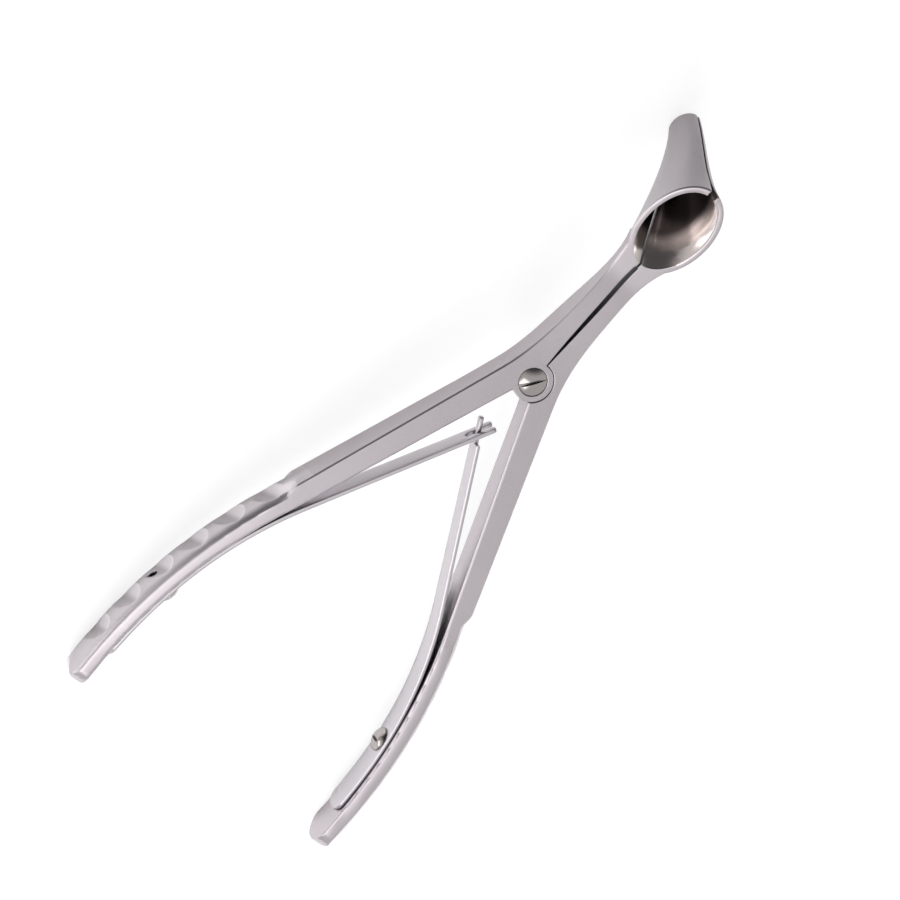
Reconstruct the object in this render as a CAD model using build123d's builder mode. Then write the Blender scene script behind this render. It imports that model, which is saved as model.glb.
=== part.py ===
from build123d import *
import os
from math import asin, atan2, cos, degrees, hypot, radians, sin

# Sizes are in millimetres, angles in degrees.
# The instrument is drawn flat first: the pivot runs along Z through the origin, +X points to the
# funnel, +Y to the left arm, and Z = 0 is the front face. The last section lays it down at rest.

# Lap joint
joint_thickness = 6.2
joint_half_length = 8.0
boss_radius = 4.2
boss_gap = 0.2
lap_gap = 0.06

# Pivot screw
pivot_radius = 1.6
pivot_running_gap = 0.05
thread_gap = 0.02
pivot_head_radius = 2.9
pivot_head_gap = 0.1
pivot_head_seat = 0.9
pivot_head_crown = 0.55
pivot_slot_turn = -36.0
slot_width = 0.65
slot_depth = 0.6

# Upper handle
handle_angle = 22.5
handle_inner_offset = 0.57
outer_angle = 21.0
outer_offset = 6.2
edge_break = 0.3
back_round = 40.0

# Grip
straight_length = 56.5
bend_radius = 115.0
handle_reach = 104.2
grip_depth = 9.0
grip_edge_thickness = 2.7
grip_crown = 1.8
grip_edge_round = 0.5
tip_front_round = 3.4
tip_back_round = 5.0
tip_side_round = 3.4
tip_outer_round = 1.2
tip_inner_round = 0.4
step_start = 50.5
step_end = 55.5
step_thickness = 2.4
taper_end = 62.0

# Finger scallops
scallop_count = 6
scallop_first = 57.0
scallop_pitch = 8.4
scallop_radius = 6.0
scallop_depth = 1.0
scallop_slant = 20.0

# Shank
slot_half_mouth = 0.25
slot_half_start = 0.12
slot_belly_x = 13.0
slot_half_belly = 0.4
waist_x = 19.5
waist_half_width = 3.95
heel_bend_radius = 20.0
shank_low_x = 27.0
shank_low_z = -2.1
shank_join_x = 35.6
shank_join_half_width = 6.2
flank_end_slope = 0.5
shank_end_x = 38.0
shank_end_z = 1.6
belly_end_slope = 0.35

# Half funnel: front and heel ends of each oval section in the XZ plane, and its half width
mouth_front = (51.4, 7.4)
mouth_heel = (30.2, 1.6)
mouth_half_width = 7.8
throat_front = (53.2, -0.5)
throat_heel = (36.6, -5.4)
throat_half_width = 5.9
middle_front = (56.4, -10.0)
middle_heel = (44.8, -14.4)
middle_half_width = 4.1
tip_front = (61.8, -25.6)
tip_heel = (55.35, -29.2)
tip_half_width = 2.65
mouth_wall = 1.4
blade_wall = 0.85
rim_round = 0.35
blade_gap = 0.5
lip_gap = 2.0
lip_depth = 7.0

# Leaf springs
spring_thickness = 0.9
spring_seat_gap = 0.02
spring_head_gap = 0.05
spring_radius = 90.0
spring_tail_radius = 110.0
spring_lift_angle = 29.5
spring_root_width = 6.6
spring_tip_width = 4.6
spring_tail_x = 96.2
spring_reach = 41.2
spring_tail_round = 2.6
fork_length = 6.2
fork_slot_width = 2.0
tongue_length = 5.6
tongue_width = 1.5

# Spring screws
spring_screw_x = 78.5
spring_screw_radius = 1.1
spring_screw_head_radius = 2.6
spring_screw_head_height = 0.4
spring_screw_head_crown = 1.2
spring_hole_gap = 0.1
spring_screw_recess = 0.4


def along(origin, direction, distance):
    """Point at a distance from origin along a unit direction in the XY plane."""
    return (origin[0] + direction[0] * distance, origin[1] + direction[1] * distance)


def polar(center, radius, angle):
    """Point on a circle in the XY plane."""
    return (center[0] + radius * cos(radians(angle)), center[1] + radius * sin(radians(angle)))


# Lines of the left handle in plan: a straight inner face, then an arc with its centre on the inner side
handle_dir = (-cos(radians(handle_angle)), sin(radians(handle_angle)))
handle_out = (sin(radians(handle_angle)), cos(radians(handle_angle)))
inner_foot = along((0, 0), handle_out, handle_inner_offset)
bend_start = along(inner_foot, handle_dir, straight_length)
bend_center = along(bend_start, handle_out, -bend_radius)
bend_angle = 90 - handle_angle
grip_end_angle = 90 + degrees(asin((handle_reach + bend_center[0]) / bend_radius))
grip_end = polar(bend_center, bend_radius, grip_end_angle)
grip_end_out = (cos(radians(grip_end_angle)), sin(radians(grip_end_angle)), 0)
grip_thickness = grip_edge_thickness + grip_crown
outer_dir = (-cos(radians(outer_angle)), sin(radians(outer_angle)))
outer_out = (sin(radians(outer_angle)), cos(radians(outer_angle)))
outer_foot = along((0, 0), outer_out, outer_offset)
mid_joint = -joint_thickness / 2
mid_grip = -grip_depth / 2
through = 2 * handle_reach


def grip_plane(distance):
    """Plane on the inner face at a distance along the handle: X outwards, Y up, Z along the handle."""
    if distance <= straight_length:
        point = along(inner_foot, handle_dir, distance)
        angle = bend_angle
    else:
        angle = bend_angle + degrees((distance - straight_length) / bend_radius)
        point = polar(bend_center, bend_radius, angle)
    outwards = (cos(radians(angle)), sin(radians(angle)), 0)
    return Plane((point[0], point[1], mid_grip), x_dir=outwards, z_dir=(-outwards[1], outwards[0], 0))


# Upper handle, joint and shank of the left arm: plan outline cut to its side view
step_foot = along(inner_foot, handle_dir, step_end)
step_top = along(step_foot, handle_out, step_thickness)
outer_step = along(outer_foot, outer_dir, step_start)
outer_turn = along(outer_foot, outer_dir, joint_half_length / 2)
to_joint = (-outer_dir[0], -outer_dir[1])
slot_start = (boss_radius, slot_half_start)
mouth_rise = (mouth_front[0] - mouth_heel[0], mouth_front[1] - mouth_heel[1])
mouth_slope = degrees(atan2(mouth_rise[1], mouth_rise[0]))
with BuildPart() as body:
    with BuildSketch(Plane.XY.offset(-through)):
        with BuildLine():
            slot_edge = Spline((shank_end_x, slot_half_mouth), (slot_belly_x, slot_half_belly), slot_start)
            crotch = Line(slot_edge @ 1, inner_foot)
            inner_edge = Line(crotch @ 1, step_foot)
            Line(inner_edge @ 1, step_top)
            step = Spline(step_top, outer_step, tangents=(inner_edge % 1 * -1, to_joint))
            outer_edge = Line(step @ 1, outer_turn)
            flank = Spline(outer_edge @ 1, (waist_x, waist_half_width),
                           (shank_join_x, shank_join_half_width),
                           tangents=(outer_edge % 1, (1, flank_end_slope)))
            Line(flank @ 1, slot_edge @ 0)
        make_face()
    extrude(amount=2 * through)
    with BuildSketch(Plane.XZ) as side_view:
        with BuildLine():
            front = Line((-handle_reach, 0), (joint_half_length / 2, 0))
            heel_bend = JernArc(mouth_heel, (-mouth_rise[0], -mouth_rise[1]), heel_bend_radius, -mouth_slope)
            Spline(front @ 1, heel_bend @ 1, tangents=((1, 0), (1, 0)))
            lip = Line(mouth_heel, mouth_front)
            drop = Line(lip @ 1, (mouth_front[0], shank_end_z))
            low = Line(drop @ 1, (shank_end_x, shank_end_z))
            belly = Spline(low @ 1, (shank_low_x, shank_low_z),
                           (joint_half_length, -joint_thickness), tangents=((-1, -belly_end_slope), (-1, 0)))
            back = Line(belly @ 1, (-joint_half_length, -joint_thickness))
            taper = Line(back @ 1, (-taper_end, -grip_depth))
            heel = Line(taper @ 1, (-handle_reach, -grip_depth))
            Line(heel @ 1, front @ 0)
        make_face()
        back_corner = side_view.vertices().sort_by_distance((-joint_half_length, -joint_thickness))[0]
        fillet(back_corner, back_round)
    extrude(amount=through, both=True, mode=Mode.INTERSECT)
    walls = body.faces().sort_by(Axis.X)
    buried = walls[0].edges() + walls[-1].edges()
    crosswise = body.edges().filter_by(Axis.Y) + body.edges().filter_by(Axis.Z)
    belly_face = body.faces().sort_by_distance((shank_low_x, waist_half_width / 2, shank_low_z))[0]
    slot_edges = body.edges().filter_by_position(Axis.Y, 0, inner_foot[1])
    chamfer(body.edges() - crosswise - buried - belly_face.edges() - slot_edges, edge_break)

# Crowned grip of the left handle, with its round end and its finger scallops
grip_start = grip_plane(step_start - (step_end - step_start))
with BuildPart() as grip:
    with BuildLine() as grip_path:
        run = Line(grip_start.origin, grip_plane(straight_length).origin)
        JernArc(run @ 1, run % 1, bend_radius, grip_end_angle - bend_angle)
    with BuildSketch(grip_start) as grip_section:
        with BuildLine():
            face = Line((0, mid_grip), (0, -mid_grip))
            top = Line(face @ 1, (grip_edge_thickness, -mid_grip))
            crown = ThreePointArc(top @ 1, (grip_thickness, 0), (grip_edge_thickness, mid_grip))
            Line(crown @ 1, face @ 0)
        make_face()
        fillet(grip_section.vertices(), grip_edge_round)
    sweep(path=grip_path.wire())
    with BuildSketch(Plane.XZ):
        with BuildLine():
            ceiling = Line((0, grip_depth), (tip_front_round - handle_reach, grip_depth))
            wall = Line(ceiling @ 1, (tip_front_round - handle_reach, 0))
            front_turn = JernArc(wall @ 1, (-1, 0), tip_front_round, 90)
            end = Line(front_turn @ 1, (-handle_reach, tip_back_round - grip_depth))
            back_turn = JernArc(end @ 1, (0, -1), tip_back_round, 90)
            floor = Line(back_turn @ 1, (-taper_end, -grip_depth))
            slope = Line(floor @ 1, (-joint_half_length, -joint_thickness))
            level = Line(slope @ 1, (0, -joint_thickness))
            Line(level @ 1, ceiling @ 0)
        make_face()
    extrude(amount=through, both=True, mode=Mode.INTERSECT)
    with BuildSketch(Plane(grip_end, x_dir=grip_end_out, z_dir=(0, 0, 1))):
        with BuildLine():
            side_turn = JernArc((grip_thickness, -tip_side_round), (0, 1), tip_side_round, 90)
            outside = Line(side_turn @ 1, (grip_thickness - tip_side_round, tip_side_round))
            beyond = Line(outside @ 1, (2 * grip_thickness, tip_side_round))
            beside = Line(beyond @ 1, (2 * grip_thickness, -tip_side_round))
            Line(beside @ 1, side_turn @ 0)
        make_face()
    extrude(amount=through, both=True, mode=Mode.SUBTRACT)
    inner_low = grip_end[1] - tip_inner_round
    inner_high = grip_end[1] + tip_inner_round
    end_edges = grip.edges().filter_by_position(Axis.X, -handle_reach, tip_outer_round / 2 - handle_reach)
    across = end_edges.filter_by(Axis.Y)
    inner_end = end_edges.filter_by_position(Axis.Y, inner_low, inner_high)
    fillet(end_edges - across - inner_end, tip_outer_round)
    end_edges = grip.edges().filter_by_position(Axis.X, -handle_reach, tip_side_round - handle_reach)
    inner_end = end_edges.filter_by_position(Axis.Y, inner_low, inner_high)
    fillet(inner_end - inner_end.filter_by(Axis.Y), tip_inner_round)
    for index in range(scallop_count):
        station = grip_plane(scallop_first + index * scallop_pitch)
        standoff = grip_thickness - scallop_depth + scallop_radius
        axis = Vector(0, 0, 1).rotate(Axis((0, 0, 0), station.x_dir), scallop_slant)
        with BuildSketch(Plane(station.from_local_coords((standoff, 0, 0)), x_dir=station.x_dir, z_dir=axis)):
            Circle(scallop_radius)
        extrude(amount=grip_depth, both=True, mode=Mode.SUBTRACT)


def funnel_section(front, heel, half_width, inset):
    """Plane and half axes of one oval section of the funnel."""
    half_length = hypot(front[0] - heel[0], front[1] - heel[1]) / 2
    middle = ((front[0] + heel[0]) / 2, 0, (front[1] + heel[1]) / 2)
    slope = (front[0] - heel[0], 0, front[1] - heel[1])
    plane = Plane(middle, x_dir=slope, z_dir=(-slope[2], 0, slope[0]))
    return plane, half_length - inset, half_width - inset


mouth_oval = (mouth_front, mouth_heel, mouth_half_width)
throat_oval = (throat_front, throat_heel, throat_half_width)
middle_oval = (middle_front, middle_heel, middle_half_width)
tip_oval = (tip_front, tip_heel, tip_half_width)

# Hollow of the funnel, run on past the mouth and the tip so that it cuts clean through
mouth_plane, hollow_length, hollow_width = funnel_section(*mouth_oval, mouth_wall)
tip_plane, tip_length, tip_width = funnel_section(*tip_oval, blade_wall)
with BuildPart() as hollow:
    with BuildSketch(mouth_plane):
        Ellipse(hollow_length, hollow_width)
    for oval in (throat_oval, middle_oval, tip_oval):
        plane, half_length, half_width = funnel_section(*oval, blade_wall)
        with BuildSketch(plane):
            Ellipse(half_length, half_width)
    loft()
    with BuildSketch(mouth_plane):
        Ellipse(hollow_length, hollow_width)
    extrude(amount=grip_depth)
    with BuildSketch(tip_plane):
        Ellipse(tip_length, tip_width)
    extrude(amount=-grip_depth)

# Whole funnel with rounded rims at the mouth and the tip
with BuildPart() as funnel:
    for oval in (mouth_oval, throat_oval, middle_oval, tip_oval):
        plane, half_length, half_width = funnel_section(*oval, 0)
        with BuildSketch(plane):
            Ellipse(half_length, half_width)
    loft()
    add(hollow.part, mode=Mode.SUBTRACT)
    fillet(funnel.faces().filter_by(GeomType.PLANE).edges(), rim_round)

# Left half of the funnel, parted from the right half, with a wider notch at the front lip
with BuildPart() as half_funnel:
    add(funnel.part)
    split(bisect_by=Plane.XZ.offset(-blade_gap / 2), keep=Keep.BOTTOM)
    with BuildSketch(Plane.YZ.offset(mouth_front[0] - lip_depth)):
        notch_top = mouth_front[1] + lip_depth
        notch_foot = mouth_front[1] - lip_depth
        Polygon((0, notch_foot), (lip_gap, notch_top), (-lip_gap, notch_top), align=None)
    extrude(amount=2 * lip_depth, mode=Mode.SUBTRACT)

# Left arm before its joint is cut: handle, shank and half funnel in one forging
with BuildPart() as arm:
    add(body.part)
    add(hollow.part, mode=Mode.SUBTRACT)
    add(half_funnel.part)
    add(grip.part)

# Seat of the left spring and its screw on the handle: the plane's normal points inwards
screw_angle = 90 + degrees(asin((spring_screw_x + bend_center[0]) / bend_radius))
screw_point = polar(bend_center, bend_radius, screw_angle)
screw_inwards = (-cos(radians(screw_angle)), -sin(radians(screw_angle)), 0)
screw_seat = Plane((screw_point[0], screw_point[1], mid_grip), x_dir=(0, 0, 1), z_dir=screw_inwards)
right_inwards = (screw_inwards[0], -screw_inwards[1], 0)
right_seat = Plane((screw_point[0], -screw_point[1], mid_grip), x_dir=(0, 0, 1), z_dir=right_inwards)

# Left arm: upper ear, flush with the front face, with the seat of the pivot screw's head
upper_lap = mid_joint + lap_gap / 2
with BuildPart() as left_arm:
    add(arm.part)
    with BuildSketch(Plane.XY.offset(upper_lap)):
        Circle(boss_radius + boss_gap)
    extrude(amount=-joint_thickness, mode=Mode.SUBTRACT)
    with BuildSketch(Plane.XY.offset(upper_lap)):
        Circle(boss_radius)
    extrude(amount=-upper_lap)
    with BuildSketch(Plane.XY.offset(upper_lap)):
        Circle(pivot_radius + pivot_running_gap)
    extrude(amount=-upper_lap, mode=Mode.SUBTRACT)
    with BuildSketch(Plane.XY.offset(-pivot_head_seat)):
        Circle(pivot_head_radius + pivot_head_gap)
    extrude(amount=pivot_head_seat, mode=Mode.SUBTRACT)
    with BuildSketch(screw_seat.offset(spring_thickness)):
        Circle(spring_screw_radius + thread_gap)
    extrude(amount=-grip_depth, mode=Mode.SUBTRACT)

# Right arm: lower ear, into which the pivot screw is threaded
lower_lap = mid_joint - lap_gap / 2
ear_depth = lower_lap + joint_thickness
with BuildPart() as right_arm:
    mirror(arm.part, about=Plane.XZ)
    with BuildSketch(Plane.XY.offset(lower_lap)):
        Circle(boss_radius + boss_gap)
    extrude(amount=joint_thickness, mode=Mode.SUBTRACT)
    with BuildSketch(Plane.XY.offset(lower_lap)):
        Circle(boss_radius)
    extrude(amount=-ear_depth)
    with BuildSketch(Plane.XY.offset(lower_lap)):
        Circle(pivot_radius + thread_gap)
    extrude(amount=-ear_depth, mode=Mode.SUBTRACT)
    with BuildSketch(right_seat.offset(spring_thickness)):
        Circle(spring_screw_radius + thread_gap)
    extrude(amount=-grip_depth, mode=Mode.SUBTRACT)

# Pivot screw: its domed head sinks into the left arm and its end is flush with the back
head_seat = lap_gap - pivot_head_seat
slot_dir = (cos(radians(pivot_slot_turn)), sin(radians(pivot_slot_turn)), 0)
with BuildPart() as pivot_screw:
    with BuildSketch(Plane.XZ):
        with BuildLine():
            core = Line((0, pivot_head_crown), (0, -joint_thickness))
            foot = Line(core @ 1, (pivot_radius, -joint_thickness))
            shank = Line(foot @ 1, (pivot_radius, head_seat))
            collar = Line(shank @ 1, (pivot_head_radius, head_seat))
            side = Line(collar @ 1, (pivot_head_radius, -lap_gap))
            TangentArc(core @ 0, side @ 1, tangent=(1, 0))
        make_face()
    revolve(axis=Axis.Z)
    with BuildSketch(Plane((0, 0, pivot_head_crown), x_dir=slot_dir, z_dir=(0, 0, 1))):
        Rectangle(3 * pivot_head_radius, slot_width)
    extrude(amount=-slot_depth, mode=Mode.SUBTRACT)

# Screws of the springs: the head holds the spring down, the end stops short of the outer face
spring_top = spring_seat_gap + spring_thickness + spring_head_gap
screw_end = spring_screw_recess + scallop_depth - grip_thickness
head_top = spring_top + spring_screw_head_height + spring_screw_head_crown
screw_side = Plane(screw_seat.origin, x_dir=screw_seat.x_dir, z_dir=screw_seat.y_dir * -1)
with BuildPart() as left_spring_screw:
    with BuildSketch(screw_side):
        with BuildLine():
            core = Line((0, head_top), (0, screw_end))
            foot = Line(core @ 1, (spring_screw_radius, screw_end))
            shank = Line(foot @ 1, (spring_screw_radius, spring_top))
            collar = Line(shank @ 1, (spring_screw_head_radius, spring_top))
            side = Line(collar @ 1, (spring_screw_head_radius, spring_top + spring_screw_head_height))
            TangentArc(core @ 0, side @ 1, tangent=(1, 0))
        make_face()
    revolve(axis=Axis(screw_seat.origin, screw_seat.z_dir))
    with BuildSketch(screw_seat.offset(head_top)):
        Rectangle(3 * spring_screw_head_radius, slot_width)
    extrude(amount=-slot_depth, mode=Mode.SUBTRACT)

with BuildPart() as right_spring_screw:
    mirror(left_spring_screw.part, about=Plane.XZ)

# Plain leaf of the left spring: two arcs that meet at the screw, then a straight run across the middle
screw_foot = along(screw_point, screw_inwards, spring_seat_gap)
spring_center = along(screw_foot, screw_inwards, spring_radius)
tail_center = along(screw_foot, screw_inwards, spring_tail_radius)
lift_point = polar(spring_center, spring_radius, 90 - spring_lift_angle)
tail_angle = 90 + degrees(asin((spring_tail_x + tail_center[0]) / spring_tail_radius))
run_dir = (cos(radians(spring_lift_angle)), -sin(radians(spring_lift_angle)))
run_out = (sin(radians(spring_lift_angle)), cos(radians(spring_lift_angle)))
spring_tip = along(lift_point, run_dir, spring_reach)
inner_tip = along(spring_tip, run_out, -spring_thickness)
inner_lift = along(lift_point, run_out, -spring_thickness)
inner_tail_radius = spring_tail_radius - spring_thickness
lift_sweep = screw_angle - 90 + spring_lift_angle
tail_sweep = tail_angle - screw_angle
root_half = spring_root_width / 2
tip_half = spring_tip_width / 2
with BuildPart() as leaf:
    with BuildSketch(Plane.XY.offset(-through)):
        with BuildLine():
            outer_run = Line(spring_tip, lift_point)
            outer_arc = JernArc(outer_run @ 1, outer_run % 1, spring_radius, lift_sweep)
            outer_tail = JernArc(outer_arc @ 1, outer_arc % 1, spring_tail_radius, tail_sweep)
            inner_run = Line(inner_tip, inner_lift)
            inner_arc = JernArc(inner_run @ 1, inner_run % 1, spring_radius - spring_thickness, lift_sweep)
            inner_tail = JernArc(inner_arc @ 1, inner_arc % 1, inner_tail_radius, tail_sweep)
            Line(outer_tail @ 1, inner_tail @ 1)
            Line(inner_run @ 0, outer_run @ 0)
        make_face()
    extrude(amount=2 * through)
    with BuildSketch(Plane.XZ) as leaf_side:
        with BuildLine():
            tip_edge = Line((0, mid_grip - tip_half), (0, mid_grip + tip_half))
            upper = Line(tip_edge @ 1, (-spring_screw_x, mid_grip + root_half))
            upper_root = Line(upper @ 1, (-spring_tail_x, mid_grip + root_half))
            tail_edge = Line(upper_root @ 1, (-spring_tail_x, mid_grip - root_half))
            lower_root = Line(tail_edge @ 1, (-spring_screw_x, mid_grip - root_half))
            Line(lower_root @ 1, tip_edge @ 0)
        make_face()
        fillet(leaf_side.vertices().group_by(Axis.X)[0], spring_tail_round)
    extrude(amount=through, both=True, mode=Mode.INTERSECT)
    with BuildSketch(screw_seat.offset(spring_root_width)):
        Circle(spring_screw_radius + spring_hole_gap)
    extrude(amount=-2 * spring_root_width, mode=Mode.SUBTRACT)

# Plane on the straight run of the spring at its tip: X along the run, Z outwards
run_plane = Plane((spring_tip[0], spring_tip[1], mid_grip), x_dir=(*run_dir, 0), z_dir=(*run_out, 0))

# Left spring: its tip is slotted into a fork
with BuildPart() as left_spring:
    add(leaf.part)
    with BuildSketch(run_plane.offset(spring_thickness)):
        SlotOverall(2 * fork_length, fork_slot_width)
    extrude(amount=-3 * spring_thickness, mode=Mode.SUBTRACT)

# Right spring: its tip is narrowed to a tongue that goes through the fork
with BuildPart() as tongue_leaf:
    add(leaf.part)
    with BuildSketch(run_plane.offset(spring_thickness)):
        Rectangle(2 * tongue_length, 2 * spring_tip_width)
        Rectangle(2 * tongue_length, tongue_width, mode=Mode.SUBTRACT)
    extrude(amount=-3 * spring_thickness, mode=Mode.SUBTRACT)

with BuildPart() as right_spring:
    mirror(tongue_leaf.part, about=Plane.XZ)

# Lay the instrument down, front face up, on the blade tips and the handle ends
handle_low = (tip_back_round - handle_reach, tip_back_round - grip_depth)
rim_slope = atan2(tip_front[1] - tip_heel[1], tip_front[0] - tip_heel[0])
rim_low_x = tip_heel[0] + rim_round * (cos(rim_slope) - sin(rim_slope))
rim_low_z = tip_heel[1] + rim_round * (cos(rim_slope) + sin(rim_slope))
span = (rim_low_x - handle_low[0], rim_low_z - handle_low[1])
fall = atan2(-span[1], span[0])
lean = asin((tip_back_round - rim_round) / hypot(*span))
lying = Location((0, 0, 0), (0, degrees(lean - fall), 0))
pieces = {
    "left_arm": left_arm,
    "right_arm": right_arm,
    "pivot_screw": pivot_screw,
    "left_spring": left_spring,
    "right_spring": right_spring,
    "left_spring_screw": left_spring_screw,
    "right_spring_screw": right_spring_screw,
}
for piece in pieces.values():
    piece.part.move(lying)

# Origin on the surface below the middle of the whole instrument
box = Compound([piece.part for piece in pieces.values()]).bounding_box()
placed = Location((-box.center().X, -box.center().Y, -box.min.Z))
os.makedirs("parts", exist_ok=True)
for name, piece in pieces.items():
    piece.part.move(placed)
    piece.part.label = name
    export_step(piece.part, f"parts/{name}.step")
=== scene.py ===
import math

import bmesh
import bpy
from mathutils import Matrix, Vector
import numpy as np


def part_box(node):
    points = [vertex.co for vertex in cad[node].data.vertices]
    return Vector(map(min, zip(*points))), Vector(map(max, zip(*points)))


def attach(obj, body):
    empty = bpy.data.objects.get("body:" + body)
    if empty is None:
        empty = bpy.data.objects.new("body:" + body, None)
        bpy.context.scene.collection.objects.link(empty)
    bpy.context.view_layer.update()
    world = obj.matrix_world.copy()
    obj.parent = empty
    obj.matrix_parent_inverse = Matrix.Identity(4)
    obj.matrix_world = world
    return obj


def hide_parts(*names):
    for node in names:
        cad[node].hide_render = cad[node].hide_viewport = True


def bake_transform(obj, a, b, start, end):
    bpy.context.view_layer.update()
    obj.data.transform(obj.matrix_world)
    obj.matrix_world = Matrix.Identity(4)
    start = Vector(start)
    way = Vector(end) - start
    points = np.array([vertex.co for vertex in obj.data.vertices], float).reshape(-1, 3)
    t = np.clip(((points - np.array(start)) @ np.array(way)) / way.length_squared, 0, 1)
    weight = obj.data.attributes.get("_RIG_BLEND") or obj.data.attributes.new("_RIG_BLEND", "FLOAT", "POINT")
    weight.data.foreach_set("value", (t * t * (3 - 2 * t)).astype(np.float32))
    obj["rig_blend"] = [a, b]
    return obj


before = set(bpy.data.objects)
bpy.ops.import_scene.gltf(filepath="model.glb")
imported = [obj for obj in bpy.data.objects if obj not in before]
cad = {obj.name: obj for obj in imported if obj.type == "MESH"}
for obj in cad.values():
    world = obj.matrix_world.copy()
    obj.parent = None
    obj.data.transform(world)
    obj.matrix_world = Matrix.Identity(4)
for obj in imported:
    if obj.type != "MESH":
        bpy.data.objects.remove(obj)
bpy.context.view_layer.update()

# Lengths are in metres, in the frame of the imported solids. Colours are linear.
# A pair of values called RAMP says where an eased mask is 0 and where it is 1.

MIRROR = {"left": 1.0, "right": -1.0}

# Camera: a long lens, high above the joint.
CAMERA_PLACE = Vector((-0.00105, 0.19761, 0.47767))
CAMERA_TARGET = Vector((-0.00155, 0.0044, 0.01988))
CAMERA_UP = Vector((0.7894, 0.56525, -0.23943))
CAMERA_LENS = 100.0
CAMERA_SENSOR = 36.0
CAMERA_CLIP_START = 0.01

# Studio: white floor and a pale room that is bright on the handles' side and dark beyond the funnel.
# The levels called SEEN are what the camera sees; the others light the steel and show in it.
FLOOR_HALF_SIZE = 4.0
FLOOR_COLOUR_SEEN = (0.3, 0.3, 0.3, 1.0)
FLOOR_GLOW_SEEN = 0.78
FLOOR_COLOUR_NEAR = (0.95, 0.95, 0.95, 1.0)
# Painted shade: for the steel, the floor darkens to this beyond the funnel.
FLOOR_SHADE_COLOUR_FAR = (0.3, 0.3, 0.3, 1.0)
FLOOR_FAR_SHADE_RAMP = (0.06, 0.14)
ROOM_LEVEL_SEEN = 1.0
ROOM_LEVEL = 0.84
ROOM_DARK_LEVEL = 0.1
ROOM_DARK_SIDE = Vector((0.78, 0.4, 0.48)).normalized()
ROOM_DARK_RAMP = (0.4, 0.75)

# Lamps: place, width, height, brightness (1 is white paper) and whether the steel mirrors them.
LAMPS = {
    "floor_soft_box": ((-0.8, -0.1, 0.6), 0.7, 0.7, 6.0, False),
    "left_soft_box": ((-0.73, -0.07, 1.19), 0.7, 0.7, 1.7, True),
    "left_strip_box": ((-0.8, 0.95, 0.32), 1.0, 0.3, 1.7, True),
    "right_strip_box": ((0.75, -0.95, 0.4), 0.9, 0.3, 1.5, True),
}

# Effects that the finishes share.
RAY_SAMPLES = 8
NOISE_MIDDLE = 0.5
GRAIN_DETAIL = 2.0
PATCH_DETAIL = 3.0
GRAIN_IN_TONE = 0.2
# Crevice shade: painted shade, a dark colour laid where ambient occlusion finds slots, joints and narrow
# gaps.
CREVICE_SHADE_RAMP = (0.34, 0.62)
CREVICE_SHADE_COLOUR = (0.03, 0.028, 0.03, 1.0)
EDGE_TURN_RAMP = (0.04, 0.2)
EDGE_BREAKUP_DETAIL = 2.0
EDGE_BREAKUP_RAMP = (0.2, 0.6)
HAIRLINE_DETAIL = 3.0

# Satin steel of the arms; the grips' edges are rounder or sharper than the others.
SATIN_COLOUR = (0.62, 0.57, 0.6, 1.0)
SATIN_PATCH_TONE = 0.1
SATIN_ROUGHNESS = 0.29
SATIN_ROUGHNESS_SPREAD = 0.06
SATIN_CREVICE_SHADE_REACH = 0.0025
SATIN_BUMP = 0.07
GRAIN_SIZE = 0.00016
GRAIN_DEPTH = 0.000012
PATCH_SIZE = 0.014
# Edges are painted lighter, partly as rubbed wear and partly as a painted highlight.
EDGE_HIGHLIGHT_COLOUR = (0.86, 0.84, 0.85, 1.0)
EDGE_HIGHLIGHT_SHARE = 0.2
EDGE_BREAKUP_SIZE = 0.004
ARM_ROUND = 0.0003
GRIP_ROUND = {"left": 0.0011, "right": 0.0002}
GRIP_ROUND_RAMP = (-0.035, -0.05)

# Shading of the arms' surface: edges sharper than these angles stay sharp.
WELD_DISTANCE = 1e-7
ARM_SHARP_ANGLE = math.radians(40.0)
SCALLOP_SHARP_ANGLE = math.radians(20.0)

# Finger scallops: a painted highlight lightens the half of each scallop that faces away from the joint, and
# painted shade darkens the ridges.
# The tilt is towards the handle's end. The centre is that of the left grip's arc, as the part lies.
SCALLOP_HIGHLIGHT_COLOUR = (0.92, 0.87, 0.9, 1.0)
SCALLOP_HIGHLIGHT_SHARE = 0.75
SCALLOP_HIGHLIGHT_TILT_RAMP = (-0.1, 0.3)
RIDGE_SHADE_COLOUR = (0.4, 0.365, 0.385, 1.0)
RIDGE_SHADE_SHARE = 0.45
RIDGE_SHADE_TILT_RAMP = (-0.3, -0.02)
OUTER_FACING_RAMP = (0.5, 0.7)
GRIP_CENTRE = Vector((-0.0754, -0.0841, 0.0))
GRIP_START = -0.022

# The same scallops in plan, from the pivot: their stretch, and their least distance from the arc's centre.
BEND_CENTRE = Vector((-0.095989, -0.084098))
SCALLOPS_FROM = -0.0975
SCALLOPS_TO = -0.0485
SCALLOPS_REACH = 0.1183

# Funnel: its axis runs from the middle of the mouth to the middle of the blade tips.
FUNNEL_MOUTH = Vector((0.05911, 0.0, 0.03141))
FUNNEL_TIP = Vector((0.08083, 0.0, 0.00206))
FUNNEL_INWARD_RAMP = (-0.3, -0.6)
FUNNEL_REACH_RAMP = (0.0135, 0.0125)
FUNNEL_RIM_RAMP = (-0.009, -0.0085)
FUNNEL_COLOUR = (0.72, 0.65, 0.63, 1.0)
# Painted shade: deep in the funnel its colour darkens to this.
FUNNEL_DEEP_SHADE_COLOUR = (0.1, 0.085, 0.085, 1.0)
FUNNEL_DEEP_SHADE_RAMP = (0.006, 0.0095)
FUNNEL_ROUGHNESS = 0.2
MOUTH_FACING = Vector((-0.386, 0.0, 0.923)).normalized()
FLARE_AT_RIM = 0.95
FLARE_DEEP = 0.5
FLARE_RAMP = (0.0, 0.005)

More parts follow.
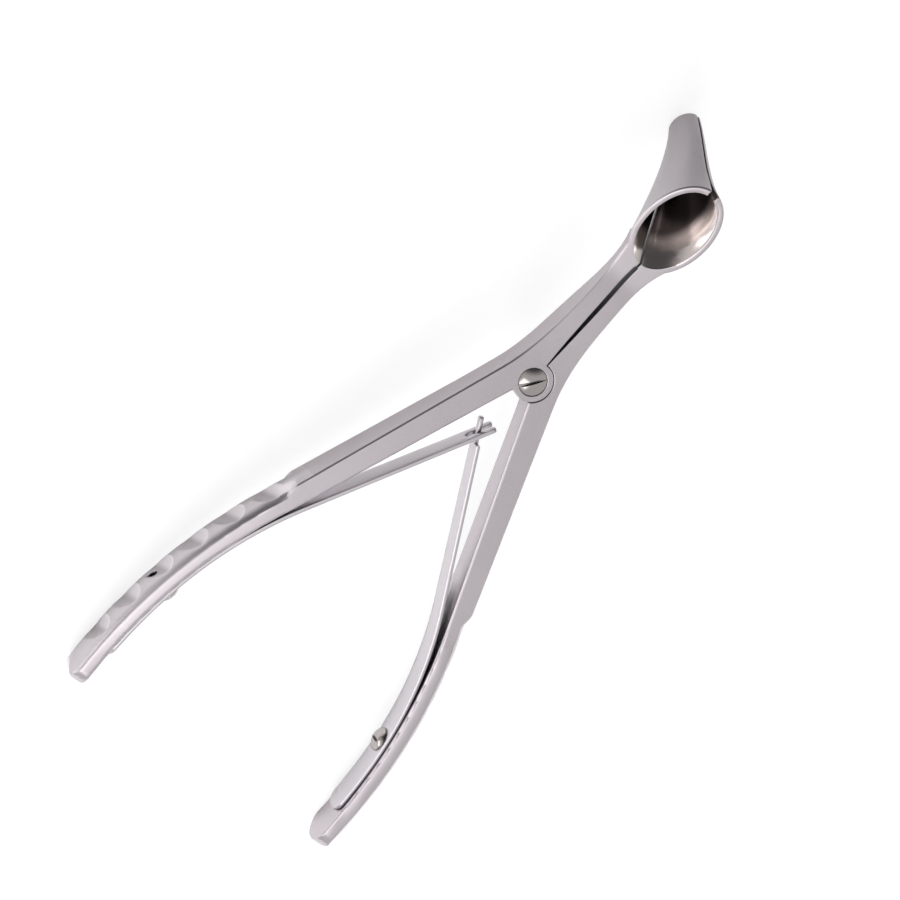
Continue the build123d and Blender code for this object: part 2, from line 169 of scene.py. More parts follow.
# Rolled steel of the leaf springs.
SPRING_COLOUR = (0.68, 0.645, 0.675, 1.0)
SPRING_PATCH_TONE = 0.08
SPRING_ROUGHNESS = 0.27
SPRING_ROUGHNESS_SPREAD = 0.08
SPRING_CREVICE_SHADE_REACH = 0.0015
HAIRLINE_WIDTH = 0.00012
HAIRLINE_LENGTH = 0.008
HAIRLINE_ROUGHNESS = 0.08
HAIRLINE_DEPTH = 0.00001
HAIRLINE_BUMP = 0.25

# Polished steel of the screws.
SCREW_COLOUR = (0.5, 0.46, 0.45, 1.0)
SCREW_PATCH_TONE = 0.12
SCREW_ROUGHNESS = 0.14
SCREW_ROUGHNESS_SPREAD = 0.06
SCREW_GRAIN_SIZE = 0.0003
SCREW_GRAIN_DEPTH = 0.000005
SCREW_PATCH_SIZE = 0.002
SCREW_ROUND = 0.00012
SCREW_BREAKUP_SIZE = 0.001
SCREW_CREVICE_SHADE_REACH = 0.0012
SCREW_BUMP = 0.1

# Leaf springs. Their paths are given in plan, from the pivot, for the left spring: an arc round the
# tail, an arc from the screw to the lift, then a straight run to the tip.
PIVOT_PLACE = Vector((0.019224, 0.0, 0.021709))
LAY_ANGLE = math.radians(7.3799)
TAIL_CENTRE = Vector((-0.095232, -0.079176))
TAIL_RADIUS = 0.11
TAIL_ANGLE = math.radians(90.5041)
SCREW_ANGLE = math.radians(81.2523)
LIFT_CENTRE = Vector((-0.092191, -0.059408))
LIFT_RADIUS = 0.09
LIFT_ANGLE = math.radians(60.5)
TAIL_LENGTH = TAIL_RADIUS * (TAIL_ANGLE - SCREW_ANGLE)
LIFT_LENGTH = LIFT_RADIUS * (SCREW_ANGLE - LIFT_ANGLE)
STRAIGHT_LENGTH = 0.0412
LEAF_LENGTH = TAIL_LENGTH + LIFT_LENGTH + STRAIGHT_LENGTH
LEAF_MIDDLE = -0.0045
LEAF_THICKNESS = 0.0009
LEAF_ROOT_HALF = 0.0033
LEAF_TIP_HALF = 0.00245
LEAF_TAIL_ROUND = 0.0026
LEAF_TAIL_STEPS = 8
LEAF_EDGE_ROUND = 0.00012
LEAF_EDGE_STEPS = 2
LEAF_EDGE_PROFILE = 0.5
LEAF_HOLE_RADIUS = 0.0012
LEAF_HOLE_STEPS = 24
LEAF_CUT_PITCH = 0.0015
LEAF_CUT_TOLERANCE = 1e-6
LEAF_SQUARE_TOLERANCE = 0.1
LEAF_SHARP_ANGLE = math.radians(50)
FORK_DEPTH = 0.0062
FORK_HALF = 0.001
FORK_SLOT_STEPS = 12
FORK_PRONG_STEPS = 8
TONGUE_LENGTH = 0.0056
TONGUE_HALF = 0.00075
TONGUE_CORNER_STEPS = 4


# Node helpers

def fill(tree, node, inputs):
    """Sets a node's inputs; each is a number, a colour or another node's output."""
    for socket, value in inputs.items():
        if isinstance(value, bpy.types.NodeSocket):
            tree.links.new(value, node.inputs[socket])
        else:
            node.inputs[socket].default_value = value


def put(tree, kind, inputs=None, **settings):
    """Adds a shader node."""
    made = tree.nodes.new("ShaderNode" + kind)
    for name, value in settings.items():
        setattr(made, name, value)
    fill(tree, made, inputs or {})
    return made


def maths(tree, operation, a, b=0.0, clamp=False):
    return put(tree, "Math", {0: a, 1: b}, operation=operation, use_clamp=clamp).outputs[0]


def vector_maths(tree, operation, a, b):
    return put(tree, "VectorMath", {0: a, 1: b}, operation=operation).outputs["Vector"]


def dot(tree, a, b):
    return put(tree, "VectorMath", {0: a, 1: b}, operation="DOT_PRODUCT").outputs["Value"]


def scaled(tree, vector, factor):
    return put(tree, "VectorMath", {0: vector, "Scale": factor}, operation="SCALE").outputs["Vector"]


def length(tree, vector):
    return put(tree, "VectorMath", {0: vector}, operation="LENGTH").outputs["Value"]


def normalized(tree, vector):
    return put(tree, "VectorMath", {0: vector}, operation="NORMALIZE").outputs["Vector"]


def split(tree, vector):
    return put(tree, "SeparateXYZ", {0: vector}).outputs


def noise(tree, vector, scale, detail):
    return put(tree, "TexNoise", {"Vector": vector, "Scale": scale, "Detail": detail}).outputs[0]


def ramp_between(tree, value, ends):
    """0 at the first end and 1 at the second, eased between them."""
    inputs = {"Value": value, "From Min": ends[0], "From Max": ends[1]}
    return put(tree, "MapRange", inputs, interpolation_type="SMOOTHSTEP").outputs["Result"]


def mix_value(tree, factor, a, b):
    return put(tree, "Mix", {0: factor, 2: a, 3: b}).outputs[0]


def mix_vector(tree, factor, a, b):
    return put(tree, "Mix", {0: factor, 4: a, 5: b}, data_type="VECTOR").outputs[1]


def mix_colour(tree, factor, a, b):
    return put(tree, "Mix", {0: factor, 6: a, 7: b}, data_type="RGBA").outputs[2]


def start_group(name, inputs, outputs):
    """A shader group with named sockets; gives the tree, its input values and its results."""
    tree = bpy.data.node_groups.new(name, "ShaderNodeTree")
    for label, kind in inputs:
        tree.interface.new_socket(label, in_out="INPUT", socket_type="NodeSocket" + kind)
    for label, kind in outputs:
        tree.interface.new_socket(label, in_out="OUTPUT", socket_type="NodeSocket" + kind)
    given = tree.nodes.new("NodeGroupInput").outputs
    result = tree.nodes.new("NodeGroupOutput").inputs
    return tree, given, result


def use_group(tree, group, inputs):
    made = tree.nodes.new("ShaderNodeGroup")
    made.node_tree = group
    fill(tree, made, inputs)
    return made.outputs


# Effects that several finishes share

def build_blasted_grain():
    """Fine even grain of a blasted surface, with faint broad patches in tone and gloss."""
    tree, given, result = start_group(
        "blasted_grain",
        [("Vector", "Vector"), ("Grain Size", "Float"), ("Patch Size", "Float"), ("Colour", "Color"),
         ("Patch Tone", "Float"), ("Roughness", "Float"), ("Roughness Spread", "Float")],
        [("Colour", "Color"), ("Roughness", "Float"), ("Height", "Float")])
    grain_scale = maths(tree, "DIVIDE", 1.0, given["Grain Size"])
    patch_scale = maths(tree, "DIVIDE", 1.0, given["Patch Size"])
    grain = noise(tree, given["Vector"], grain_scale, GRAIN_DETAIL)
    patch = noise(tree, given["Vector"], patch_scale, PATCH_DETAIL)
    pale = maths(tree, "ADD", patch, maths(tree, "MULTIPLY", grain, GRAIN_IN_TONE), clamp=True)
    tone = mix_value(tree, pale, maths(tree, "SUBTRACT", 1.0, given["Patch Tone"]), 1.0)
    grain_swing = maths(tree, "SUBTRACT", grain, NOISE_MIDDLE)
    patch_swing = maths(tree, "SUBTRACT", patch, NOISE_MIDDLE)
    fine = maths(tree, "MULTIPLY", grain_swing, given["Roughness Spread"])
    broad = maths(tree, "MULTIPLY", patch_swing, given["Roughness Spread"])
    rough = maths(tree, "ADD", given["Roughness"], maths(tree, "ADD", fine, broad), clamp=True)
    tree.links.new(scaled(tree, given["Colour"], tone), result["Colour"])
    tree.links.new(rough, result["Roughness"])
    tree.links.new(grain, result["Height"])
    return tree


def build_painted_crevice_shade():
    """Painted shade: 1 deep in slots, joints and narrow gaps, and 0 on open faces."""
    tree, given, result = start_group("painted_crevice_shade", [("Reach", "Float")], [("Crevice Shade", "Float")])
    sky = put(tree, "AmbientOcclusion", {"Distance": given["Reach"]}, samples=RAY_SAMPLES).outputs["AO"]
    crevice_shade = ramp_between(tree, maths(tree, "SUBTRACT", 1.0, sky), CREVICE_SHADE_RAMP)
    tree.links.new(crevice_shade, result["Crevice Shade"])
    return tree


def build_rounded_edges_wear_and_highlight():
    """Rounded-over edges: their normal, and a mask that is 1 along them, broken up a little, for rubbed wear
    and a painted highlight.
    """
    tree, given, result = start_group(
        "rounded_edges_wear_and_highlight", [("Vector", "Vector"), ("Width", "Float"), ("Breakup Size", "Float")],
        [("Edge Wear And Highlight", "Float"), ("Normal", "Vector")])
    rounded = put(tree, "Bevel", {"Radius": given["Width"]}, samples=RAY_SAMPLES).outputs[0]
    flat = put(tree, "NewGeometry").outputs["Normal"]
    turned = maths(tree, "SUBTRACT", 1.0, dot(tree, rounded, flat))
    scale = maths(tree, "DIVIDE", 1.0, given["Breakup Size"])
    broken = noise(tree, given["Vector"], scale, EDGE_BREAKUP_DETAIL)
    edge_wear_and_highlight = ramp_between(tree, turned, EDGE_TURN_RAMP)
    edge = maths(tree, "MULTIPLY", edge_wear_and_highlight, ramp_between(tree, broken, EDGE_BREAKUP_RAMP))
    tree.links.new(edge, result["Edge Wear And Highlight"])
    tree.links.new(rounded, result["Normal"])
    return tree


def build_hairlines():
    """Fine parallel brush lines that run along the X of the vector."""
    tree, given, result = start_group(
        "hairlines", [("Vector", "Vector"), ("Line Width", "Float"), ("Line Length", "Float")],
        [("Line", "Float")])
    place = split(tree, given["Vector"])
    along = maths(tree, "DIVIDE", place["X"], given["Line Length"])
    across = maths(tree, "DIVIDE", place["Y"], given["Line Width"])
    above = maths(tree, "DIVIDE", place["Z"], given["Line Width"])
    stretched = put(tree, "CombineXYZ", {0: along, 1: across, 2: above}).outputs[0]
    line = noise(tree, stretched, 1.0, HAIRLINE_DETAIL)
    tree.links.new(line, result["Line"])
    return tree


# Materials

def start_material(name):
    material = bpy.data.materials.new(name)
    material.use_nodes = True
    tree = material.node_tree
    shader = tree.nodes["Principled BSDF"]
    shader.inputs["Metallic"].default_value = 1.0
    return material, tree, shader


def set_surface(tree, shader, colour, rough, bump):
    tree.links.new(colour, shader.inputs["Base Color"])
    tree.links.new(rough, shader.inputs["Roughness"])
    tree.links.new(bump.outputs[0], shader.inputs["Normal"])


def funnel_inside(tree, coords):
    """1 on the inner wall of the funnel, 0 on the outside, the rim and the rest of the arm."""
    axis = (FUNNEL_TIP - FUNNEL_MOUTH).normalized()
    from_mouth = vector_maths(tree, "SUBTRACT", coords["Object"], FUNNEL_MOUTH)
    depth = dot(tree, from_mouth, axis)
    spoke = vector_maths(tree, "SUBTRACT", from_mouth, scaled(tree, axis, depth))
    facing = dot(tree, normalized(tree, spoke), coords["Normal"])
    inward = ramp_between(tree, facing, FUNNEL_INWARD_RAMP)
    near = ramp_between(tree, length(tree, spoke), FUNNEL_REACH_RAMP)
    below_rim = ramp_between(tree, depth, FUNNEL_RIM_RAMP)
    return maths(tree, "MULTIPLY", maths(tree, "MULTIPLY", inward, near), below_rim)


def depth_below_mouth(tree, coords):
    from_mouth = vector_maths(tree, "SUBTRACT", coords["Object"], FUNNEL_MOUTH)
    return maths(tree, "MULTIPLY", dot(tree, from_mouth, MOUTH_FACING), -1.0)


def funnel_colour_and_shade(tree, depth):
    # Painted shade: the funnel's colour darkens deeper below the mouth.
    deep_shade = ramp_between(tree, depth, FUNNEL_DEEP_SHADE_RAMP)
    return mix_colour(tree, deep_shade, FUNNEL_COLOUR, FUNNEL_DEEP_SHADE_COLOUR)


def flared_normal(tree, coords, depth):
    """Normal of the funnel's inner wall, which opens out like a bowl towards its rim."""
    flare = mix_value(tree, ramp_between(tree, depth, FLARE_RAMP), FLARE_AT_RIM, FLARE_DEEP)
    leaning = vector_maths(tree, "ADD", coords["Normal"], scaled(tree, MOUTH_FACING, flare))
    turned = put(tree, "VectorTransform", {0: leaning},
                 vector_type="NORMAL", convert_from="OBJECT", convert_to="WORLD")
    return normalized(tree, turned.outputs[0])


def scallop_light_and_shade_masks(tree, coords, side):
    """Masks for painted light on a grip's outer face: shade on its ridges, and a highlight on the halves of
    the scallops that face from the joint.
    """
    mirror = (1.0, MIRROR[side], 1.0)
    place = vector_maths(tree, "MULTIPLY", coords["Object"], mirror)
    facing = vector_maths(tree, "MULTIPLY", coords["Normal"], mirror)
    from_centre = vector_maths(tree, "SUBTRACT", place, GRIP_CENTRE)
    spoke = normalized(tree, vector_maths(tree, "MULTIPLY", from_centre, (1.0, 1.0, 0.0)))
    away = vector_maths(tree, "CROSS_PRODUCT", (0.0, 0.0, 1.0), spoke)
    tilt = dot(tree, facing, away)
    on_grip = maths(tree, "LESS_THAN", split(tree, place)["X"], GRIP_START)
    outer = maths(tree, "MULTIPLY", ramp_between(tree, dot(tree, facing, spoke), OUTER_FACING_RAMP), on_grip)
    ridge_shade = maths(tree, "MULTIPLY", ramp_between(tree, tilt, RIDGE_SHADE_TILT_RAMP), outer)
    scallop_highlight = maths(tree, "MULTIPLY", ramp_between(tree, tilt, SCALLOP_HIGHLIGHT_TILT_RAMP), outer)
    return ridge_shade, ramp_between(tree, scallop_highlight, (0.0, 1.0))


def grip_painted_light(tree, coords, side, colour):
    """The given colour with painted light: painted shade on the ridges of the grip and a painted highlight
    in its scallops.
    """
    ridge_shade, scallop_highlight = scallop_light_and_shade_masks(tree, coords, side)
    shaded_colour = mix_colour(tree, maths(tree, "MULTIPLY", ridge_shade, RIDGE_SHADE_SHARE), colour, RIDGE_SHADE_COLOUR)
    return mix_colour(tree, maths(tree, "MULTIPLY", scallop_highlight, SCALLOP_HIGHLIGHT_SHARE), shaded_colour, SCALLOP_HIGHLIGHT_COLOUR)


def arm_edges(tree, coords, side, edge_group):
    """Worn edges of an arm, with the grip's own rounding; the edges carry rubbed wear and a painted
    highlight.
    """
    along = split(tree, coords["Object"])["X"]
    width = mix_value(tree, ramp_between(tree, along, GRIP_ROUND_RAMP), ARM_ROUND, GRIP_ROUND[side])
    return use_group(tree, edge_group, {
        "Vector": coords["Object"], "Width": width, "Breakup Size": EDGE_BREAKUP_SIZE})


def satin_steel(side, grain_group, edge_group, crevice_shade_group):
    """A forged arm: blasted satin outside, edges rubbed bright with a painted highlight, painted shade on
    the grip's ridges and in crevices, a painted highlight in the scallops, funnel polished inside with
    painted shade deep down.
    """
    material, tree, shader = start_material(side + "_satin_steel")
    coords = put(tree, "TexCoord").outputs
    grain = use_group(tree, grain_group, {
        "Vector": coords["Object"], "Grain Size": GRAIN_SIZE, "Patch Size": PATCH_SIZE,
        "Colour": SATIN_COLOUR, "Patch Tone": SATIN_PATCH_TONE,
        "Roughness": SATIN_ROUGHNESS, "Roughness Spread": SATIN_ROUGHNESS_SPREAD})
    edges = arm_edges(tree, coords, side, edge_group)
    inside = funnel_inside(tree, coords)
    outside = maths(tree, "SUBTRACT", 1.0, inside)
    depth = depth_below_mouth(tree, coords)
    crevice_shade = use_group(tree, crevice_shade_group, {"Reach": SATIN_CREVICE_SHADE_REACH})["Crevice Shade"]
    edge_highlight_share = maths(tree, "MULTIPLY", edges["Edge Wear And Highlight"], EDGE_HIGHLIGHT_SHARE)
    # Edges painted lighter, partly as rubbed wear and partly as a painted highlight.
    colour = mix_colour(tree, edge_highlight_share, grain["Colour"], EDGE_HIGHLIGHT_COLOUR)
    # Painted light on the grip: shade on its ridges and a highlight in its scallops.
    colour = grip_painted_light(tree, coords, side, colour)
    # The funnel's inside, with painted shade deeper down.
    colour = mix_colour(tree, inside, colour, funnel_colour_and_shade(tree, depth))
    # Painted shade in crevices, outside the funnel.
    colour = mix_colour(tree, maths(tree, "MULTIPLY", crevice_shade, outside), colour, CREVICE_SHADE_COLOUR)
    rough = mix_value(tree, inside, grain["Roughness"], FUNNEL_ROUGHNESS)
    normal = mix_vector(tree, inside, edges["Normal"], flared_normal(tree, coords, depth))
    height = maths(tree, "MULTIPLY", grain["Height"], outside)
    bump = put(tree, "Bump", {
        "Height": height, "Strength": SATIN_BUMP, "Distance": GRAIN_DEPTH, "Normal": normal})
    set_surface(tree, shader, colour, rough, bump)
    return material


def spring_steel(grain_group, crevice_shade_group, line_group):
    """The leaf springs: pale rolled strip with brush lines along its length."""
    material, tree, shader = start_material("rolled_spring_steel")
    coords = put(tree, "TexCoord").outputs
    line = use_group(tree, line_group, {
        "Vector": coords["UV"], "Line Width": HAIRLINE_WIDTH, "Line Length": HAIRLINE_LENGTH})["Line"]
    grain = use_group(tree, grain_group, {
        "Vector": coords["Object"], "Grain Size": GRAIN_SIZE, "Patch Size": PATCH_SIZE,
        "Colour": SPRING_COLOUR, "Patch Tone": SPRING_PATCH_TONE,
        "Roughness": SPRING_ROUGHNESS, "Roughness Spread": SPRING_ROUGHNESS_SPREAD})
    crevice_shade = use_group(tree, crevice_shade_group, {"Reach": SPRING_CREVICE_SHADE_REACH})["Crevice Shade"]
    # Painted shade in crevices, where the strip lies close to other parts.
    colour = mix_colour(tree, crevice_shade, grain["Colour"], CREVICE_SHADE_COLOUR)
    rough = maths(tree, "ADD", grain["Roughness"], maths(tree, "MULTIPLY", line, HAIRLINE_ROUGHNESS))
    bump = put(tree, "Bump", {"Height": line, "Strength": HAIRLINE_BUMP, "Distance": HAIRLINE_DEPTH})
    set_surface(tree, shader, colour, rough, bump)
    return material


def polished_steel(grain_group, edge_group, crevice_shade_group):
    """The screws: turned and polished, nearly a mirror."""
    material, tree, shader = start_material("polished_screw_steel")
    coords = put(tree, "TexCoord").outputs
    grain = use_group(tree, grain_group, {
        "Vector": coords["Object"], "Grain Size": SCREW_GRAIN_SIZE, "Patch Size": SCREW_PATCH_SIZE,
        "Colour": SCREW_COLOUR, "Patch Tone": SCREW_PATCH_TONE,
        "Roughness": SCREW_ROUGHNESS, "Roughness Spread": SCREW_ROUGHNESS_SPREAD})
    edges = use_group(tree, edge_group, {
        "Vector": coords["Object"], "Width": SCREW_ROUND, "Breakup Size": SCREW_BREAKUP_SIZE})
    crevice_shade = use_group(tree, crevice_shade_group, {"Reach": SCREW_CREVICE_SHADE_REACH})["Crevice Shade"]
    # Painted shade in the screws' slots and joints.
    colour = mix_colour(tree, crevice_shade, grain["Colour"], CREVICE_SHADE_COLOUR)
    bump = put(tree, "Bump", {
        "Height": grain["Height"], "Strength": SCREW_BUMP, "Distance": SCREW_GRAIN_DEPTH,
        "Normal": edges["Normal"]})
    set_surface(tree, shader, colour, grain["Roughness"], bump)
    return material


def dress(piece, material):
    piece.data.materials.clear()
    piece.data.materials.append(material)


def add_object(name, data):
    made = bpy.data.objects.new(name, data)
    bpy.context.scene.collection.objects.link(made)
    return made


# Arms

def on_scallops(edge, side):
    """Whether an edge lies in the scalloped outer face of a grip, found in plan from the pivot."""
    place = (edge.verts[0].co + edge.verts[1].co) / 2
    flat = Matrix.Rotation(LAY_ANGLE, 3, "Y") @ (place - PIVOT_PLACE)
    reach = (Vector((flat.x, MIRROR[side] * flat.y)) - BEND_CENTRE).length
    return SCALLOPS_FROM < flat.x < SCALLOPS_TO and reach > SCALLOPS_REACH


def welded_arm(side):
    """A copy of an arm's surface, with its sharp edges marked."""
    shape = bmesh.new()
    shape.from_mesh(cad[side + "_arm"].data)
    bmesh.ops.remove_doubles(shape, verts=shape.verts, dist=WELD_DISTANCE)
    for face in shape.faces:
        face.smooth = True
    for edge in shape.edges:
        limit = SCALLOP_SHARP_ANGLE if on_scallops(edge, side) else ARM_SHARP_ANGLE
        edge.smooth = edge.calc_face_angle(0.0) < limit
    mesh = bpy.data.meshes.new(side + "_draft")
    shape.to_mesh(mesh)
    shape.free()
    for attribute in [item for item in mesh.attributes if item.name == "custom_normal"]:
        mesh.attributes.remove(attribute)
    return mesh


def evened(mesh):
    """The mesh with normals weighted by face, so that narrow edge faces shade evenly along them."""
    draft = add_object(mesh.name, mesh)
    weighted = draft.modifiers.new("evened", "WEIGHTED_NORMAL")
    weighted.keep_sharp = True
    depsgraph = bpy.context.evaluated_depsgraph_get()
    finished = bpy.data.meshes.new_from_object(draft.evaluated_get(depsgraph))
    bpy.data.objects.remove(draft)
    return finished


def forged_arm(side, material):
    """An arm's own surface with evened shading."""
    node = side + "_arm"
    arm = add_object(side + "_forging", evened(welded_arm(side)))
    dress(arm, material)
    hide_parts(node)
    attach(arm, side + "_half")


# Leaf springs

def turn(centre, radius, start, stop, steps):
    """Points on an arc in the unrolled strip, from one angle to another in degrees."""
    angles = [math.radians(start + (stop - start) * step / steps) for step in range(steps + 1)]
    return [(centre[0] + radius * math.cos(angle), centre[1] + radius * math.sin(angle)) for angle in angles]


def other_edge(points):
    """The same points on the lower edge of the strip, in the order in which the outline comes back."""
    return [(along, -across) for along, across in reversed(points)]


def fork_end(half):
    """Tip of the left leaf: two rounded prongs on either side of a slot."""
    prong = (half - FORK_HALF) / 2
    upper = turn((LEAF_LENGTH - prong, FORK_HALF + prong), prong, 90, -90, FORK_PRONG_STEPS)
    slot = turn((LEAF_LENGTH - FORK_DEPTH + FORK_HALF, 0.0), FORK_HALF, 90, 270, FORK_SLOT_STEPS)
    return upper + slot + other_edge(upper)


def tongue_end(half):
    """Tip of the right leaf: a narrow tongue with rounded corners."""
    foot = LEAF_LENGTH - TONGUE_LENGTH
    corner = TONGUE_HALF / 2
    rounded = turn((LEAF_LENGTH - corner, corner), corner, 90, 0, TONGUE_CORNER_STEPS)
    upper = [(foot, half), (foot, TONGUE_HALF)] + rounded
    return upper + other_edge(upper)


def leaf_outline(tip_end):
    """Outline of a leaf unrolled flat: along the strip, and across it."""
    tail_centre = (LEAF_TAIL_ROUND, LEAF_ROOT_HALF - LEAF_TAIL_ROUND)
    tail = turn(tail_centre, LEAF_TAIL_ROUND, 180, 90, LEAF_TAIL_STEPS)
    upper = tail + [(TAIL_LENGTH, LEAF_ROOT_HALF)]
    return upper + tip_end(LEAF_TIP_HALF) + other_edge(upper)


def bend_to_path(along, out, across):
    """Place of a point of the unrolled strip once the strip is bent and the instrument laid down."""
    if along < TAIL_LENGTH:
        centre, reach, angle = TAIL_CENTRE, TAIL_RADIUS + out, TAIL_ANGLE - along / TAIL_RADIUS
    else:
        bent = min(along - TAIL_LENGTH, LIFT_LENGTH)
        centre, reach, angle = LIFT_CENTRE, LIFT_RADIUS + out, SCREW_ANGLE - bent / LIFT_RADIUS
    rest = max(along - TAIL_LENGTH - LIFT_LENGTH, 0.0)
    plan = centre + Vector((math.cos(angle), math.sin(angle))) * reach
    plan += Vector((math.sin(angle), -math.cos(angle))) * rest
    flat = Vector((plan.x, plan.y, LEAF_MIDDLE + across))
    return PIVOT_PLACE + Matrix.Rotation(-LAY_ANGLE, 3, "Y") @ flat


def flat_sheet(shape, tip_end):
    """Fills the leaf's outline, around its screw hole, and gives it its thickness."""
    hole = turn((TAIL_LENGTH, 0.0), LEAF_HOLE_RADIUS, 0, 360, LEAF_HOLE_STEPS)[:-1]
    rims = []
    for loop in (leaf_outline(tip_end), hole):
        corners = [shape.verts.new((along, across, 0.0)) for along, across in loop]
        rims += [shape.edges.new(pair) for pair in zip(corners, corners[1:] + corners[:1])]
    bmesh.ops.triangle_fill(shape, edges=rims, use_beauty=True, use_dissolve=False)
    sheet = bmesh.ops.extrude_face_region(shape, geom=shape.faces[:])["geom"]
    raised = [item for item in sheet if isinstance(item, bmesh.types.BMVert)]
    bmesh.ops.translate(shape, verts=raised, vec=(0.0, 0.0, LEAF_THICKNESS))
    bmesh.ops.recalc_face_normals(shape, faces=shape.faces)


def soften_rims(shape):
    """Rounds the edges between a leaf's broad faces and its sides."""
    square = [edge for edge in shape.edges
              if abs(edge.calc_face_angle(0.0) - math.pi / 2) < LEAF_SQUARE_TOLERANCE]
    level = [edge for edge in square if abs(edge.verts[0].co.z - edge.verts[1].co.z) < LEAF_EDGE_ROUND]
    bmesh.ops.bevel(shape, geom=level, offset=LEAF_EDGE_ROUND, segments=LEAF_EDGE_STEPS,
                    profile=LEAF_EDGE_PROFILE, affect="EDGES")


def cut_across(shape):
    """Cuts the strip at even steps along it, so that it can bend."""
    for number in range(1, int(LEAF_LENGTH / LEAF_CUT_PITCH) + 1):
        everything = shape.verts[:] + shape.edges[:] + shape.faces[:]
        place = (number * LEAF_CUT_PITCH, 0.0, 0.0)
        bmesh.ops.bisect_plane(shape, geom=everything, plane_co=place, plane_no=(1.0, 0.0, 0.0),
                               dist=LEAF_CUT_TOLERANCE)
    bmesh.ops.triangulate(shape, faces=shape.faces)


def bend_leaf(shape, side):
    """Bends the strip to its path; its flat places are kept as UVs for the brush lines."""
    lines = shape.loops.layers.uv.new("along_strip")
    for face in shape.faces:
        face.smooth = True
        for loop in face.loops:
            loop[lines].uv = loop.vert.co.xy
    for vertex in shape.verts:
        along, across, out = vertex.co
        vertex.co = bend_to_path(along, out - LEAF_THICKNESS, across)
        vertex.co.y *= MIRROR[side]
    bmesh.ops.recalc_face_normals(shape, faces=shape.faces)
    if shape.calc_volume(signed=True) < 0:
        bmesh.ops.reverse_faces(shape, faces=shape.faces)


def leaf_spring(side, tip_end, material):
    shape = bmesh.new()
    flat_sheet(shape, tip_end)
    soften_rims(shape)
    cut_across(shape)
    bend_leaf(shape, side)
    name = side + "_leaf_spring"
    mesh = bpy.data.meshes.new(name)
    shape.to_mesh(mesh)
    shape.free()
    mesh.set_sharp_from_angle(angle=LEAF_SHARP_ANGLE)
    leaf = add_object(name, mesh)
    dress(leaf, material)
    return leaf


def middle(node):
    low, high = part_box(node)
    return (low + high) / 2


def fit_leaf(side, other, tip_end, material):
    """A leaf is fixed at its screw, and its tip stays half way between the two handles."""
    node = side + "_spring"
    root = middle(side + "_spring_screw")
    low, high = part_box(node)
    tip = Vector((high.x, 0.0, (low.z + high.z) / 2))
    root.z = tip.z
    leaf = leaf_spring(side, tip_end, material)
    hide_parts(node)
    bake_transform(leaf, side + "_half", other + "_half", start=root, end=root + 2 * (tip - root))


# Studio

def add_camera():
    lens = bpy.data.cameras.new("camera")
    lens.lens = CAMERA_LENS
    lens.sensor_width = CAMERA_SENSOR
    lens.clip_start = CAMERA_CLIP_START
    camera = add_object("camera", lens)
    back = (CAMERA_PLACE - CAMERA_TARGET).normalized()
    right = CAMERA_UP.cross(back).normalized()
    up = back.cross(right)
    turned = Matrix((right, up, back)).transposed().to_4x4()
    camera.matrix_world = Matrix.Translation(CAMERA_PLACE) @ turned
    bpy.context.scene.camera = camera


def add_soft_box(name, place, width, height, level, mirrored):
    """A rectangular lamp aimed at the object."""
    lamp = bpy.data.lights.new(name, "AREA")
    lamp.shape = "RECTANGLE"
    lamp.size = width
    lamp.size_y = height
    lamp.energy = level * math.pi * width * height
    box = add_object(name, lamp)
    box.location = place
    box.rotation_euler = (-Vector(place)).to_track_quat("-Z", "Y").to_euler()
    box.visible_camera = False
    box.visible_glossy = mirrored


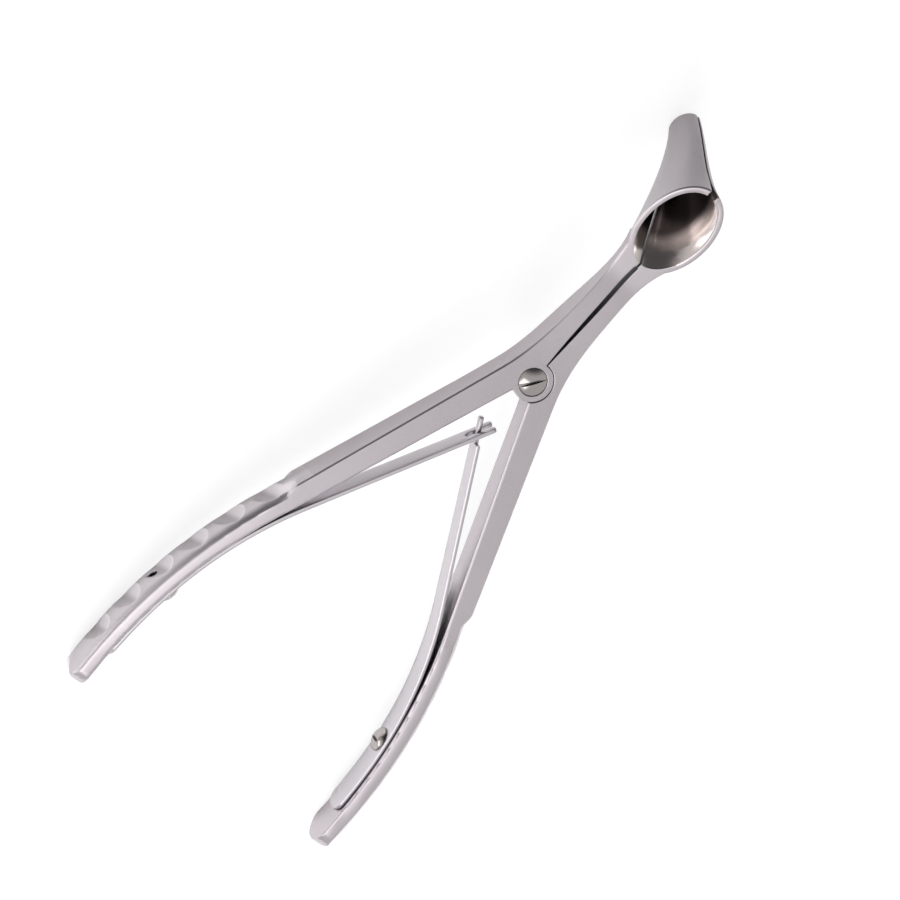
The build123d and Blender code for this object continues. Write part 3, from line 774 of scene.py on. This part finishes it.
def floor_paper():
    """White paper for the camera; for the steel, paper with painted shade that darkens it beyond the funnel.
    """
    material = bpy.data.materials.new("white_paper_floor")
    material.use_nodes = True
    tree = material.node_tree
    tree.nodes.clear()
    seen = put(tree, "LightPath").outputs["Is Camera Ray"]
    place = split(tree, put(tree, "TexCoord").outputs["Object"])["X"]
    far_shade = ramp_between(tree, place, FLOOR_FAR_SHADE_RAMP)
    mirrored = mix_colour(tree, far_shade, FLOOR_COLOUR_NEAR, FLOOR_SHADE_COLOUR_FAR)
    colour = mix_colour(tree, seen, mirrored, FLOOR_COLOUR_SEEN)
    paper = put(tree, "BsdfDiffuse", {"Color": colour})
    glow = put(tree, "Emission", {"Strength": maths(tree, "MULTIPLY", seen, FLOOR_GLOW_SEEN)})
    both = put(tree, "AddShader", {0: paper.outputs[0], 1: glow.outputs[0]})
    put(tree, "OutputMaterial", {"Surface": both.outputs[0]})
    return material


def add_floor():
    mesh = bpy.data.meshes.new("floor")
    half = FLOOR_HALF_SIZE
    corners = [(-half, -half, 0.0), (half, -half, 0.0), (half, half, 0.0), (-half, half, 0.0)]
    mesh.from_pydata(corners, [], [(0, 1, 2, 3)])
    floor = add_object("floor", mesh)
    dress(floor, floor_paper())


def light_room():
    """A pale room, brightest on the handles' side and dark beyond the funnel, and its lamps."""
    world = bpy.data.worlds.new("pale_room")
    bpy.context.scene.world = world
    world.use_nodes = True
    tree = world.node_tree
    tree.nodes.clear()
    direction = put(tree, "TexCoord").outputs["Generated"]
    dark = ramp_between(tree, dot(tree, direction, ROOM_DARK_SIDE), ROOM_DARK_RAMP)
    level = mix_value(tree, dark, ROOM_LEVEL, ROOM_DARK_LEVEL)
    seen = put(tree, "LightPath").outputs["Is Camera Ray"]
    room = put(tree, "Background", {"Strength": mix_value(tree, seen, level, ROOM_LEVEL_SEEN)})
    put(tree, "OutputWorld", {"Surface": room.outputs[0]})
    for name, settings in LAMPS.items():
        add_soft_box(name, *settings)


# Making the speculum

add_camera()
add_floor()
light_room()
blasted_grain = build_blasted_grain()
rounded_edges_wear_and_highlight = build_rounded_edges_wear_and_highlight()
painted_crevice_shade = build_painted_crevice_shade()
hairlines = build_hairlines()
spring_finish = spring_steel(blasted_grain, painted_crevice_shade, hairlines)
screw_finish = polished_steel(blasted_grain, rounded_edges_wear_and_highlight, painted_crevice_shade)
for arm_side in ("left", "right"):
    forged_arm(arm_side, satin_steel(arm_side, blasted_grain, rounded_edges_wear_and_highlight, painted_crevice_shade))
for screw in ("pivot_screw", "left_spring_screw", "right_spring_screw"):
    dress(cad[screw], screw_finish)
fit_leaf("left", "right", fork_end, spring_finish)
fit_leaf("right", "left", tongue_end, spring_finish)
bpy.context.scene.view_settings.view_transform = "Standard"
